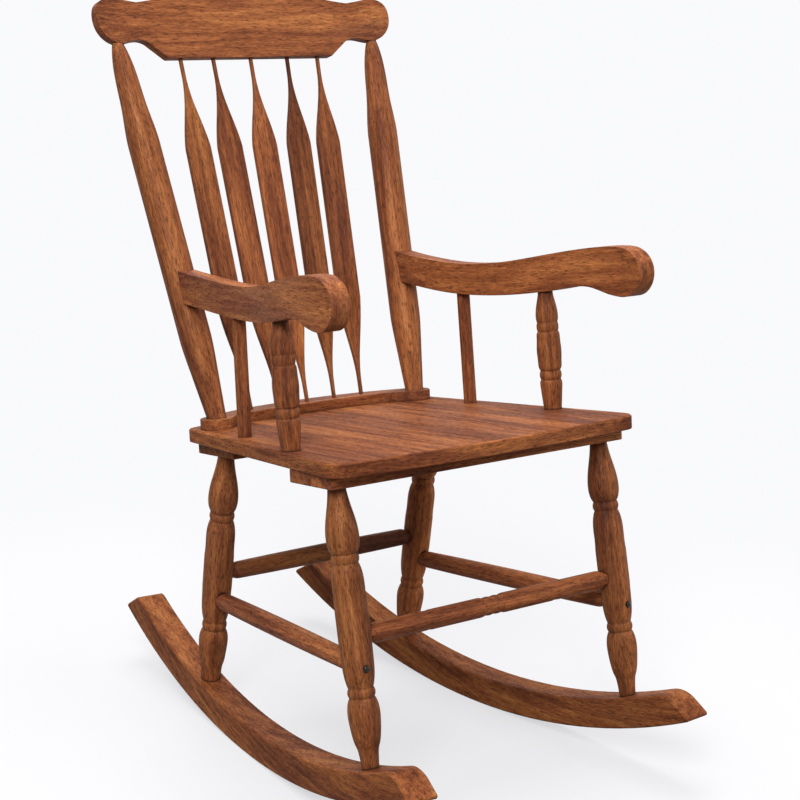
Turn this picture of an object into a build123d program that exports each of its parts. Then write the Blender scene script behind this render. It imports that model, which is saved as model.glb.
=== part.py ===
from build123d import *

import os
from math import asin, atan2, cos, degrees, hypot, radians, sin, sqrt

# Rocking chair with turned legs, curved arms, five arrow spindles and a shaped crest rail.
# Millimetres. +Z is up, the sitter faces -Y, X = 0 is the plane of symmetry and -X is the
# sitter's right. The origin is on the floor below the middle of the chair.

os.makedirs("parts", exist_ok=True)

SIDES = {"right": -1, "left": 1}

# ---------------------------------------------------------------- fits
FIT = 0.15  # gap around tenons, housed ends and coped faces
SINK = 3.5  # depth that the full round of a turned end enters its neighbour
LAND = 3.5  # plain stretch of a turned end outside its neighbour
TENON_R = 6.5  # stretchers and arm posts
LEG_TENON_R = 9.0
EASE = 2.0  # small chamfer of handled edges
SMALL_EASE = 1.0  # small chamfer of thin or hidden edges

# ---------------------------------------------------------------- seat and battens
SEAT_HEIGHT = 471.4  # top of the seat at the front reference line
SEAT_FRONT_Y = -245.7  # Y of that line
SEAT_TILT = 5.2  # degrees, falling to the rear
SEAT_THICKNESS = 19.0
SEAT_FRONT_HALF = 253.0  # half width at the front corners
SEAT_REAR_HALF = 201.5  # half width at the rear edge
SEAT_REAR_CORNER = 421.0  # rear corners, behind the reference line
SEAT_REAR_BOW = 463.0  # middle of the bowed rear edge
SEAT_CORNER = -21.0  # front corners, ahead of the reference line
SEAT_BOW = -38.0  # middle of the bowed front edge
SEAT_FRONT_CORNER_R = 26.0
SEAT_REAR_CORNER_R = 12.0
BATTEN_THICKNESS = 17.0
BATTEN_BOARD = 47.5  # width of one of the two boards of a batten
FRONT_BATTEN_START = 1.5
FRONT_BATTEN_HALF = SEAT_FRONT_HALF - 13.0
REAR_BATTEN_START = 316.5
REAR_BATTEN_HALF = SEAT_REAR_HALF - 10.5

# ---------------------------------------------------------------- rockers
ROCKER_RADIUS = 990.0  # underside
ROCKER_HEIGHT = 42.2
ROCKER_THICKNESS = 43.0
ROCKER_CENTRE_Y = -15.2  # where the rockers touch the floor
ROCKER_REACH = 425.0  # corners of the tips before rounding, ahead and behind, as drawn
FRONT_SLANT = 43.0  # length of the slanted cut at the front end
REAR_SLANT = 46.0
FRONT_SHOULDER_R = 42.0
REAR_SHOULDER_R = 12.0
ROCKER_TIP_R = 3.5
ROLLED_BACK = 2.4  # degrees from the drawn position to the position of balance

# ---------------------------------------------------------------- legs
# half spacing and Y where the legs meet the rockers
FRONT_FOOT = (FRONT_BATTEN_HALF - 22.4, -295.5)
REAR_FOOT = (REAR_BATTEN_HALF - 13.8, 166.0)
FRONT_LEG_TOP = (FRONT_FOOT[0], 25.9)  # half spacing and distance back on the underside of the batten
REAR_LEG_TOP = (REAR_FOOT[0] + 0.6, 359.0)
LEG_TOP_R = 11.7
LEG_VASE_R = 20.5
LEG_VASE_AT = 53.0  # below the batten
LEG_GROOVE_R = 16.0
LEG_RING_R = 17.8
LEG_RING_1 = 90.8  # centre of the upper ring, below the batten
LEG_RING_2 = 96.5  # centre of the lower ring, above the rocker
LEG_RING_HALF = 6.0
LEG_BARREL_R = 21.1
LEG_SHOULDER = 55.0  # length over which each end of the barrel rounds off
LEG_BULB_R = 20.4
LEG_BULB_AT = 62.0  # above the rocker
REAR_LEG_TRIM = 9.5  # the lower ring and the bulb of a rear leg sit this much nearer the rocker
FRONT_FOOT_R = 11.3
REAR_FOOT_R = 14.1
LEG_TENON = 22.0

# ---------------------------------------------------------------- stretchers
FRONT_STRETCHER_Z = 247.5
REAR_STRETCHER_Z = 223.9
SIDE_STRETCHER_FRONT_Z = 212.8
SIDE_STRETCHER_REAR_Z = 186.0
STRETCHER_END_R = 10.3
STRETCHER_ROUND = 12.0  # length over which each end rounds in
STRETCHER_SHOULDER_R = 12.5  # where that rounding starts
STRETCHER_R = 13.6  # middle of the side and rear stretchers
CIGAR_R = 13.1  # the two swellings of the front stretcher
CIGAR_HALF_STEP = 104.0  # where each swelling steps down to its plain end
CIGAR_STEP_R = 12.4
CIGAR_SHOULDER = 8.0
FRONT_STRETCHER_R = 12.9  # plain ends of the front stretcher
BEAD_R = 12.4  # the two beads in the middle of the front stretcher
BEAD_WIDTH = 13.5
BEAD_GROOVE_R = 11.2
STRETCHER_TENON = 13.0

# ---------------------------------------------------------------- back
BACK_LEAN = 16.2  # degrees from the vertical, spindles and crest rail
RAIL_THICKNESS = 14.5
RAIL_FRONT = 402.0  # front edge of the back rail on X = 0, on the seat
RAIL_BACK = 450.0
EAR = (173.0, 386.5)  # centre of the round ends of the back rail, on the seat
EAR_R = 23.5
SPINDLE_ROW = 418.5  # spindle feet on the rail, behind the reference line
SPINDLE_FEET = (-97.0, -48.0, 0.0, 48.0, 97.0)
SPINDLE_HEADS = (-118.5, -64.0, 0.0, 64.0, 118.5)
SPINDLE_THICKNESS = 7.0
SPINDLE_FOOT_W = 4.4
SPINDLE_NECK_W = 4.4
SPINDLE_END_THICKNESS = 4.5  # foot and neck
SPINDLE_BLADE_W = 38.8
SPINDLE_LOWER_SHOULDER = 146.0  # above the rail
SPINDLE_UPPER_SHOULDER = 385.0
SPINDLE_NECK_AT = 488.0
SPINDLE_FOOT_DEPTH = 9.0  # let into the rail
SPINDLE_HEAD_DEPTH = 14.0  # let into the crest rail
CREST_UNDERSIDE = 515.9  # along the spindles, above the rail
CREST_THICKNESS = 15.0
CREST_FACE = 8.0  # front face ahead of the middle of the spindles
CREST_FLAT_HALF = 125.0
CREST_BEND_R = 780.0  # bend of the ends towards the sitter
CREST_HALF = 251.4
CREST_HEIGHT = 102.0
CREST_STEP_HALF = 141.0  # half width of the straight lower edge
COVE = (187.0, 26.7)  # top of the hollow beside each post
NOTCH = (181.5, 81.0)  # bottom of the hollow in the top edge
CREST_SLOPE_TOP = (167.5, 20.3)  # where the slope beside the straight lower edge ends
LOBE_TOP = (223.0, 88.0)
LOBE_SIDE_AT = 60.0
POST_HEAD = (219.5, 21.5)  # where the posts meet the crest rail
POST_FOOT_R = 13.8
POST_R = 22.5
POST_HEAD_R = 7.8
POST_LOWER_TAPER = 120.0
POST_UPPER_TAPER = 150.0
POST_TENON_R = 8.0
CREST_TENON_R = 4.5
POST_FOOT_SINK = 5.0
POST_FOOT_TENON = 18.0
POST_HEAD_TENON = 24.0

# ---------------------------------------------------------------- arms
ARM_THICKNESS = 27.5
ARM_POST_FOOT = (SEAT_FRONT_HALF - 32.4, 121.3)  # half spacing and distance back on the seat
ARM_POST_LENGTH = 168.4
ARM_POST_LEAN = 7.3  # degrees, to the rear
ARM_POST_HEAD_R = 10.6
ARM_POST_FOOT_R = 12.9
ARM_POST_BASE_R = 15.3
ARM_POST_RINGS = (48.5, 116.5)  # centres of the two rings, above the seat
ARM_POST_RING_HALF = 6.5
ARM_POST_RING_R = 15.5
ARM_POST_GROOVES_R = (13.9, 14.4)  # beside the lower and the upper ring
ARM_POST_BARREL_R = 17.4
ARM_POST_BULB_R = 15.6
ARM_SUPPORT_FOOT = (SEAT_FRONT_HALF - 58.7, 277.0)
ARM_SUPPORT_HEAD = (191.5, 46.0, 609.6)
ARM_SUPPORT_R = 9.4
ARM_TENON = 14.0
SEAT_TENON = 10.0
SUPPORT_TENON_R = 5.5
ARM_PLAN = (  # half spacing and Y of the middle of the arm, from the post to the hand
    (190.5, 212.0),
    (187.0, 101.0),
    (196.0, 1.0),
    (220.7, -104.0),
    (240.6, -199.0),
    (247.0, -295.0),
)
ARM_UNDERSIDE = (  # Y and Z, from the post to the hand
    (195.0, 611.4),
    (67.0, 608.0),
    (-51.0, 616.0),
    (-130.0, 630.7),
    (-165.0, 638.8),
    (-190.0, 640.8),
    (-215.0, 636.3),
    (-246.0, 633.2),
)
ARM_HAND_TIP = (-280.3, 667.0)  # Y and Z of the foremost point
ARM_TOP = (  # Y and Z, from the hand to the post
    (-240.0, 700.2),
    (-189.0, 694.9),
    (-129.0, 682.4),
    (-29.0, 660.2),
    (76.0, 651.8),
    (140.0, 653.0),
    (209.0, 656.6),
)

# ---------------------------------------------------------------- screws and bolts
BOLT_HEAD_R = 4.25
BOLT_HEAD_H = 3.6
BOLT_SHANK_R = 2.5
BOLT_RECESS = 0.7  # flat cut into the round leg or post below the head
STRETCHER_BOLT_LENGTH = 75.0
ARM_BOLT_LENGTH = 85.0
ARM_BOLT_Z = 632.8
SCREW_HEAD_R = 3.6
SCREW_HEAD_H = 2.6
SCREW_SHANK_R = 1.8
SCREW_LENGTH = 30.0
SCREW_X = (60.0, 150.0)  # half spacings of the screws along each batten board

BASE = (Align.CENTER, Align.CENTER, Align.MIN)
HUNG = (Align.CENTER, Align.CENTER, Align.MAX)


# ---------------------------------------------------------------- shared construction
def end_plane(end, other, sink=SINK):
    """Plane at the end of a round piece, sunk past the surface it meets, Z pointing outwards."""
    outward = (end - other).normalized()
    return Plane(origin=end + outward * sink, z_dir=outward)


def turning_plane(start, end):
    """Sketch plane of a turned piece: X is the radius and Y runs from start towards end."""
    along = (end - start).normalized()
    radial = Plane(origin=start, z_dir=along).x_dir
    return Plane(origin=start, x_dir=radial, z_dir=radial.cross(along))


def turning_axis(start, end):
    return Axis(start, end - start)


def tenon(plane, radius, length):
    with Locations(plane):
        Cylinder(radius, length, align=BASE)


def socket(plane, end_radius, tenon_radius, length):
    """Housing for the end of a round piece and, deeper, the hole for its tenon."""
    with Locations(plane.offset(FIT)):
        Cylinder(end_radius + FIT, 4 * SINK, align=HUNG, mode=Mode.SUBTRACT)
        Cylinder(tenon_radius + FIT, length, align=BASE, mode=Mode.SUBTRACT)


def bore(plane, radius, depth):
    """Hole from the plane along its Z."""
    with Locations(plane):
        Cylinder(radius, depth, align=BASE, mode=Mode.SUBTRACT)


def bead(start, end, foot, peak):
    """Half-round bead between two distances on a turned outline."""
    ThreePointArc((foot, start), (peak, (start + end) / 2), (foot, end))


def bolt(plane, length):
    """Domed bolt whose head rests on the plane; the shank runs against the plane's Z."""
    with Locations(plane):
        Cylinder(BOLT_SHANK_R, length, align=HUNG)
    side = Plane(origin=plane.origin, x_dir=plane.x_dir, z_dir=plane.x_dir.cross(plane.z_dir))
    with BuildSketch(side, mode=Mode.PRIVATE) as head:
        with BuildLine():
            Polyline((0, BOLT_HEAD_H), (0, 0), (BOLT_HEAD_R, 0), (BOLT_HEAD_R, BOLT_HEAD_H / 3))
            Spline(
                (BOLT_HEAD_R, BOLT_HEAD_H / 3),
                (BOLT_HEAD_R * 0.65, BOLT_HEAD_H * 0.86),
                (0, BOLT_HEAD_H),
                tangents=((0, 1), (-1, 0)),
            )
        make_face()
    revolve(head.sketch, axis=Axis(plane.origin, plane.z_dir))


# ---------------------------------------------------------------- frame of the chair
tilt = radians(SEAT_TILT)
seat_top = Plane(
    origin=(0, SEAT_FRONT_Y, SEAT_HEIGHT), x_dir=(1, 0, 0), z_dir=(0, sin(tilt), cos(tilt))
)
seat_under = seat_top.offset(-SEAT_THICKNESS)
batten_under = seat_under.offset(-BATTEN_THICKNESS)
rail_top = seat_top.offset(RAIL_THICKNESS)


def on(plane, x, y):
    """Point of a plane in the chair's frame."""
    return plane.from_local_coords(Vector(x, y, 0))


lean = radians(BACK_LEAN)
spindle_foot_line = on(rail_top, 0, SPINDLE_ROW)
back = Plane(
    origin=spindle_foot_line, x_dir=(1, 0, 0), z_dir=(0, -cos(lean), sin(lean))
)  # X across, Y up the spindles, Z towards the sitter
crest_plane = Plane(
    origin=on(back, 0, CREST_UNDERSIDE), x_dir=back.x_dir, z_dir=back.z_dir
)

# rockers: each board's middle plane runs through the feet of its two legs
toe_run = hypot(FRONT_FOOT[0] - REAR_FOOT[0], REAR_FOOT[1] - FRONT_FOOT[1])
toe_x = (REAR_FOOT[0] - FRONT_FOOT[0]) / toe_run
toe_y = (REAR_FOOT[1] - FRONT_FOOT[1]) / toe_run
rocker_top_r = ROCKER_RADIUS - ROCKER_HEIGHT


def rocker_plane(side):
    """Middle plane of a rocker: X runs back along the board, Y is up, the floor is Y = 0."""
    along = (ROCKER_CENTRE_Y - FRONT_FOOT[1]) / toe_y
    origin = ((FRONT_FOOT[0] + along * toe_x) * side, ROCKER_CENTRE_Y, 0)
    return Plane(origin=origin, x_dir=(toe_x * side, toe_y, 0), z_dir=(toe_y, -toe_x * side, 0))


def arc_height(radius, run):
    """Height above the floor of an arc about the rockers' centre."""
    return ROCKER_RADIUS - sqrt(radius**2 - run**2)


def foot_point(foot, side):
    """Where a leg's axis meets the top of its rocker."""
    run = (foot[1] - ROCKER_CENTRE_Y) / toe_y
    return Vector(foot[0] * side, foot[1], arc_height(rocker_top_r, run))


def leg_ends(top, foot, side):
    return on(batten_under, top[0] * side, top[1]), foot_point(foot, side)


legs = {}
foot_radii = {}
leg_trims = {}
for side_name, side in SIDES.items():
    front_name = "front_" + side_name
    legs[front_name] = leg_ends(FRONT_LEG_TOP, FRONT_FOOT, side)
    foot_radii[front_name] = FRONT_FOOT_R
    leg_trims[front_name] = 0.0
    rear_name = "rear_" + side_name
    legs[rear_name] = leg_ends(REAR_LEG_TOP, REAR_FOOT, side)
    foot_radii[rear_name] = REAR_FOOT_R
    leg_trims[rear_name] = REAR_LEG_TRIM


def at_height(ends, z):
    """Point at height z on the line between two ends."""
    top, foot = ends
    return foot + (top - foot) * ((z - foot.Z) / (top.Z - foot.Z))


def between_legs(start, end):
    """Ends of a stretcher, on the surfaces of the two legs whose axes it joins."""
    along = (end - start).normalized()
    return start + along * LEG_BARREL_R, end - along * LEG_BARREL_R


stretchers = {
    "front": between_legs(
        at_height(legs["front_right"], FRONT_STRETCHER_Z),
        at_height(legs["front_left"], FRONT_STRETCHER_Z),
    ),
    "rear": between_legs(
        at_height(legs["rear_right"], REAR_STRETCHER_Z),
        at_height(legs["rear_left"], REAR_STRETCHER_Z),
    ),
}
for side_name in SIDES:
    stretchers["side_" + side_name] = between_legs(
        at_height(legs["front_" + side_name], SIDE_STRETCHER_FRONT_Z),
        at_height(legs["rear_" + side_name], SIDE_STRETCHER_REAR_Z),
    )


def bend_at(x):
    """How far the crest rail has bent towards the sitter at a half width."""
    past = max(abs(x) - CREST_FLAT_HALF, 0)
    return CREST_BEND_R - sqrt(CREST_BEND_R**2 - past**2)


def post_ends(side):
    """Foot on the back rail and head in the middle of the crest rail's lower edge."""
    foot = on(rail_top, EAR[0] * side, EAR[1])
    forward = CREST_FACE - CREST_THICKNESS / 2 + bend_at(POST_HEAD[0])
    head = crest_plane.from_local_coords(Vector(POST_HEAD[0] * side, POST_HEAD[1], forward))
    return foot, head


posts = {side_name: post_ends(side) for side_name, side in SIDES.items()}


def arm_post_ends(side):
    foot = on(seat_top, ARM_POST_FOOT[0] * side, ARM_POST_FOOT[1])
    post_lean = radians(ARM_POST_LEAN)
    return foot, foot + Vector(0, sin(post_lean), cos(post_lean)) * ARM_POST_LENGTH


def arm_support_ends(side):
    foot = on(seat_top, ARM_SUPPORT_FOOT[0] * side, ARM_SUPPORT_FOOT[1])
    x, y, z = ARM_SUPPORT_HEAD
    return foot, Vector(x * side, y, z)


arm_posts = {side_name: arm_post_ends(side) for side_name, side in SIDES.items()}
arm_supports = {side_name: arm_support_ends(side) for side_name, side in SIDES.items()}


def stretcher_bolt_planes():
    """Seats of the bolts on the outer faces of the legs, on the side stretchers' axes."""
    planes = []
    for side_name in SIDES:
        start, end = stretchers["side_" + side_name]
        along = (end - start).normalized()
        reach = 2 * LEG_BARREL_R - BOLT_RECESS
        planes.append(Plane(origin=start - along * reach, z_dir=-along))
        planes.append(Plane(origin=end + along * reach, z_dir=along))
    return planes


def arm_bolt_planes():
    """Seats of the bolts on the backs of the posts, level, at the arms' rear ends."""
    planes = []
    for foot, head in posts.values():
        centre = at_height((head, foot), ARM_BOLT_Z)
        depth = POST_R / cos(atan2(head.Y - foot.Y, head.Z - foot.Z)) - BOLT_RECESS
        planes.append(Plane(origin=centre + Vector(0, depth, 0), z_dir=(0, 1, 0)))
    return planes


def bolt_hole(plane, length):
    """Clearance hole for a bolt with the flat under its head."""
    bore(Plane(origin=plane.origin, z_dir=-plane.z_dir), BOLT_SHANK_R + FIT, length + FIT)
    bore(plane, BOLT_HEAD_R + FIT, 3 * BOLT_HEAD_H)


# ---------------------------------------------------------------- rockers
rockers = {}
for side_name, side in SIDES.items():
    board = rocker_plane(side)
    overhang = ROCKER_THICKNESS / 2 * abs(toe_x)  # the toed-in board's corner past its middle
    front = (-ROCKER_REACH + overhang - ROCKER_CENTRE_Y) / toe_y
    rear = (ROCKER_REACH - overhang - ROCKER_CENTRE_Y) / toe_y
    with BuildPart() as rocker:
        with BuildSketch(board):
            with BuildLine():
                underside = ThreePointArc(
                    (front, arc_height(ROCKER_RADIUS, front)),
                    (0, 0),
                    (rear, arc_height(ROCKER_RADIUS, rear)),
                )
                front_top = front + FRONT_SLANT
                rear_top = rear - REAR_SLANT
                top_edge = ThreePointArc(
                    (front_top, arc_height(rocker_top_r, front_top)),
                    (0, ROCKER_HEIGHT),
                    (rear_top, arc_height(rocker_top_r, rear_top)),
                )
                Line(underside @ 0, top_edge @ 0)
                Line(underside @ 1, top_edge @ 1)
            make_face()
            fillet(vertices().sort_by(Axis.X)[1], FRONT_SHOULDER_R)
            fillet(vertices().sort_by(Axis.X)[-2], REAR_SHOULDER_R)
            fillet(vertices().sort_by(Axis.X)[0], ROCKER_TIP_R)
            fillet(vertices().sort_by(Axis.X)[-1], ROCKER_TIP_R)
        extrude(amount=ROCKER_THICKNESS / 2, both=True)
        cheeks = faces().filter_by(board).sort_by(Axis(board.origin, board.z_dir))
        chamfer(cheeks[0].edges() + cheeks[-1].edges(), EASE)
        for leg_name, (top, foot) in legs.items():
            socket(end_plane(foot, top), foot_radii[leg_name], LEG_TENON_R, LEG_TENON)
    rockers[side_name] = rocker

# Everything is drawn with the middle of the rockers' arc on the floor. The chair balances a
# little further back, so each piece is rolled back about the arc's centre, and moved along the
# floor until the origin lies midway between the rockers' tips.
rolled = (
    Location((0, ROCKER_CENTRE_Y, ROCKER_RADIUS))
    * Location((0, 0, 0), (-ROLLED_BACK, 0, 0))
    * Location((0, -ROCKER_CENTRE_Y, -ROCKER_RADIUS))
)
tips = rockers["left"].part.moved(rolled).bounding_box()
at_rest = Location((0, -(tips.min.Y + tips.max.Y) / 2, 0)) * rolled

for side_name, rocker in rockers.items():
    rocker.part.move(at_rest)
    rocker.part.label = f"rocker_{side_name}"
    export_step(rocker.part, f"parts/{rocker.part.label}.step")


# ---------------------------------------------------------------- seat
screw_rows = [
    start + BATTEN_BOARD * (board + 0.5)
    for start in (FRONT_BATTEN_START, REAR_BATTEN_START)
    for board in (0, 1)
]
screw_planes = [
    Plane(origin=on(batten_under, x * side, row), z_dir=-batten_under.z_dir)
    for row in screw_rows
    for x in SCREW_X
    for side in SIDES.values()
]


def screw_hole(plane):
    """Countersunk hole for a screw driven against the plane's Z."""
    with Locations(plane):
        Cone(
            SCREW_SHANK_R + FIT,
            SCREW_HEAD_R + FIT,
            SCREW_HEAD_H + FIT,
            align=HUNG,
            mode=Mode.SUBTRACT,
        )
        Cylinder(SCREW_SHANK_R + FIT, SCREW_LENGTH + FIT, align=HUNG, mode=Mode.SUBTRACT)


with BuildPart() as seat_panel:
    with BuildSketch(seat_top):
        with BuildLine():
            front_edge = ThreePointArc(
                (-SEAT_FRONT_HALF, SEAT_CORNER), (0, SEAT_BOW), (SEAT_FRONT_HALF, SEAT_CORNER)
            )
            rear_edge = ThreePointArc(
                (-SEAT_REAR_HALF, SEAT_REAR_CORNER),
                (0, SEAT_REAR_BOW),
                (SEAT_REAR_HALF, SEAT_REAR_CORNER),
            )
            Line(front_edge @ 0, rear_edge @ 0)
            Line(front_edge @ 1, rear_edge @ 1)
        make_face()
        fillet(vertices().group_by(Axis.Y)[0], SEAT_FRONT_CORNER_R)
        fillet(vertices().group_by(Axis.Y)[-1], SEAT_REAR_CORNER_R)
    extrude(amount=-SEAT_THICKNESS)
    across = Axis(seat_top.origin, seat_top.z_dir)
    chamfer(faces().sort_by(across)[-1].edges(), EASE)
    chamfer(faces().sort_by(across)[0].edges(), SMALL_EASE)
    for top, foot in legs.values():
        socket(end_plane(top, foot), LEG_TENON_R, LEG_TENON_R, LEG_TENON)
    for foot, head in posts.values():
        socket(end_plane(foot, head, POST_FOOT_SINK), POST_TENON_R, POST_TENON_R, POST_FOOT_TENON)
    for foot, head in arm_posts.values():
        socket(end_plane(foot, head), ARM_POST_FOOT_R, TENON_R, SEAT_TENON)
    for foot, head in arm_supports.values():
        socket(end_plane(foot, head), ARM_SUPPORT_R, SUPPORT_TENON_R, SEAT_TENON)
    for plane in screw_planes:
        screw_hole(plane)
seat_panel.part.move(at_rest)
seat_panel.part.label = "seat_panel"
export_step(seat_panel.part, "parts/seat_panel.step")

# ---------------------------------------------------------------- battens, two boards each
for batten_name, start, half in (
    ("batten_front", FRONT_BATTEN_START, FRONT_BATTEN_HALF),
    ("batten_rear", REAR_BATTEN_START, REAR_BATTEN_HALF),
):
    for board in (0, 1):
        middle = start + BATTEN_BOARD * (board + 0.5)
        with BuildPart() as batten:
            with BuildSketch(seat_under):
                with Locations((0, middle)):
                    Rectangle(2 * half, BATTEN_BOARD - FIT)
            extrude(amount=-BATTEN_THICKNESS)
            across = Axis(seat_top.origin, seat_top.z_dir)
            chamfer(faces().sort_by(across)[0].edges(), SMALL_EASE)
            for top, foot in legs.values():
                socket(end_plane(top, foot), LEG_TOP_R, LEG_TENON_R, LEG_TENON)
            for plane in screw_planes:
                screw_hole(plane)
        batten.part.move(at_rest)
        batten.part.label = f"{batten_name}_board_{board + 1}"
        export_step(batten.part, f"parts/{batten.part.label}.step")


# ---------------------------------------------------------------- legs
def leg_outline(length, foot_r, trim):
    """From the batten (0) to the rocker: vase, ring, barrel, ring and bulb."""
    ring_2 = length - LEG_RING_2 + trim
    bulb_at = LEG_BULB_AT - trim
    Polyline((0, -SINK), (LEG_TOP_R, -SINK), (LEG_TOP_R, LAND))
    Spline(
        (LEG_TOP_R, LAND),
        (LEG_VASE_R, LEG_VASE_AT),
        (LEG_GROOVE_R, LEG_RING_1 - LEG_RING_HALF),
        tangents=((0.1, 1), (-0.75, 1)),
    )
    bead(LEG_RING_1 - LEG_RING_HALF, LEG_RING_1 + LEG_RING_HALF, LEG_GROOVE_R, LEG_RING_R)
    barrel_start = LEG_RING_1 + LEG_RING_HALF
    barrel_end = ring_2 - LEG_RING_HALF
    Spline(
        (LEG_GROOVE_R, barrel_start),
        (LEG_BARREL_R - 1.8, barrel_start + 0.2 * LEG_SHOULDER),
        (LEG_BARREL_R - 0.5, barrel_start + 0.51 * LEG_SHOULDER),
        (LEG_BARREL_R, barrel_start + LEG_SHOULDER),
    )
    Line((LEG_BARREL_R, barrel_start + LEG_SHOULDER), (LEG_BARREL_R, barrel_end - LEG_SHOULDER))
    Spline(
        (LEG_BARREL_R, barrel_end - LEG_SHOULDER),
        (LEG_BARREL_R - 0.7, barrel_end - 0.53 * LEG_SHOULDER),
        (LEG_BARREL_R - 1.8, barrel_end - 0.27 * LEG_SHOULDER),
        (LEG_GROOVE_R, barrel_end),
    )
    bead(barrel_end, ring_2 + LEG_RING_HALF, LEG_GROOVE_R, LEG_RING_R)
    Spline(
        (LEG_GROOVE_R, ring_2 + LEG_RING_HALF),
        (LEG_BULB_R - 0.7, ring_2 + LEG_RING_HALF + 0.16 * bulb_at),
        (LEG_BULB_R, length - bulb_at),
        (0.52 * LEG_BULB_R + 0.48 * foot_r, length - 0.52 * bulb_at),
        (foot_r, length - LAND),
        tangents=((1, 1.4), (-0.06, 1)),
    )
    Line((foot_r, length - LAND), (foot_r, length + SINK))
    Polyline((foot_r, length + SINK), (0, length + SINK), (0, -SINK))


for leg_name, (top, foot) in legs.items():
    with BuildPart() as leg:
        with BuildSketch(turning_plane(top, foot)):
            with BuildLine():
                leg_outline((foot - top).length, foot_radii[leg_name], leg_trims[leg_name])
            make_face()
        revolve(axis=turning_axis(top, foot))
        tenon(end_plane(top, foot), LEG_TENON_R, LEG_TENON - FIT)
        tenon(end_plane(foot, top), LEG_TENON_R, LEG_TENON - FIT)
        for start, end in stretchers.values():
            socket(end_plane(start, end), STRETCHER_END_R, TENON_R, STRETCHER_TENON)
            socket(end_plane(end, start), STRETCHER_END_R, TENON_R, STRETCHER_TENON)
        for plane in stretcher_bolt_planes():
            bolt_hole(plane, STRETCHER_BOLT_LENGTH)
    leg.part.move(at_rest)
    leg.part.label = f"leg_{leg_name}"
    export_step(leg.part, f"parts/{leg.part.label}.step")


# ---------------------------------------------------------------- stretchers
def plain_stretcher(length):
    """Round bar that swells from its rounded ends to its middle."""
    full = length - STRETCHER_ROUND
    Polyline((0, -SINK), (STRETCHER_END_R, -SINK), (STRETCHER_END_R, LAND))
    Spline(
        (STRETCHER_END_R, LAND),
        (STRETCHER_SHOULDER_R, STRETCHER_ROUND),
        tangents=((0.6, 1), (0.04, 1)),
    )
    ThreePointArc(
        (STRETCHER_SHOULDER_R, STRETCHER_ROUND), (STRETCHER_R, length / 2), (STRETCHER_SHOULDER_R, full)
    )
    Spline(
        (STRETCHER_SHOULDER_R, full),
        (STRETCHER_END_R, length - LAND),
        tangents=((-0.04, 1), (-0.6, 1)),
    )
    Line((STRETCHER_END_R, length - LAND), (STRETCHER_END_R, length + SINK))
    Polyline((STRETCHER_END_R, length + SINK), (0, length + SINK), (0, -SINK))


def front_stretcher_half(half):
    """From the middle to one leg: half of the beads, a swelling, a step and a plain end."""
    cigar_start = BEAD_WIDTH + 1.0
    cigar_end = CIGAR_HALF_STEP - CIGAR_SHOULDER
    bead(0, BEAD_WIDTH, BEAD_GROOVE_R, BEAD_R)
    Line((BEAD_GROOVE_R, BEAD_WIDTH), (BEAD_GROOVE_R, cigar_start))
    Spline(
        (BEAD_GROOVE_R, cigar_start),
        (CIGAR_R, cigar_start + 1.5 * CIGAR_SHOULDER),
        tangents=((1, 1), (0, 1)),
    )
    Line((CIGAR_R, cigar_start + 1.5 * CIGAR_SHOULDER), (CIGAR_R, cigar_end))
    Spline((CIGAR_R, cigar_end), (CIGAR_STEP_R, CIGAR_HALF_STEP), tangents=((0, 1), (-0.4, 1)))
    Spline(
        (CIGAR_STEP_R, CIGAR_HALF_STEP),
        (FRONT_STRETCHER_R, CIGAR_HALF_STEP + 2 * CIGAR_SHOULDER),
        tangents=((0.1, 1), (0, 1)),
    )
    Line(
        (FRONT_STRETCHER_R, CIGAR_HALF_STEP + 2 * CIGAR_SHOULDER),
        (FRONT_STRETCHER_R, half - STRETCHER_ROUND),
    )
    Spline(
        (FRONT_STRETCHER_R, half - STRETCHER_ROUND),
        (STRETCHER_END_R, half - LAND),
        tangents=((-0.03, 1), (-0.6, 1)),
    )
    Polyline(
        (STRETCHER_END_R, half - LAND), (STRETCHER_END_R, half + SINK), (0, half + SINK), (0, 0)
    )
    Line((0, 0), (BEAD_GROOVE_R, 0))


for stretcher_name, (start, end) in stretchers.items():
    length = (end - start).length
    with BuildPart() as stretcher:
        if stretcher_name == "front":
            with BuildSketch(turning_plane((start + end) / 2, end)):
                with BuildLine():
                    front_stretcher_half(length / 2)
                make_face()
                mirror(about=Plane.XZ)
        else:
            with BuildSketch(turning_plane(start, end)):
                with BuildLine():
                    plain_stretcher(length)
                make_face()
        revolve(axis=turning_axis(start, end))
        tenon(end_plane(start, end), TENON_R, STRETCHER_TENON - FIT)
        tenon(end_plane(end, start), TENON_R, STRETCHER_TENON - FIT)
        for plane in stretcher_bolt_planes():
            bolt_hole(plane, STRETCHER_BOLT_LENGTH)
    stretcher.part.move(at_rest)
    stretcher.part.label = f"stretcher_{stretcher_name}"
    export_step(stretcher.part, f"parts/{stretcher.part.label}.step")

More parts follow.
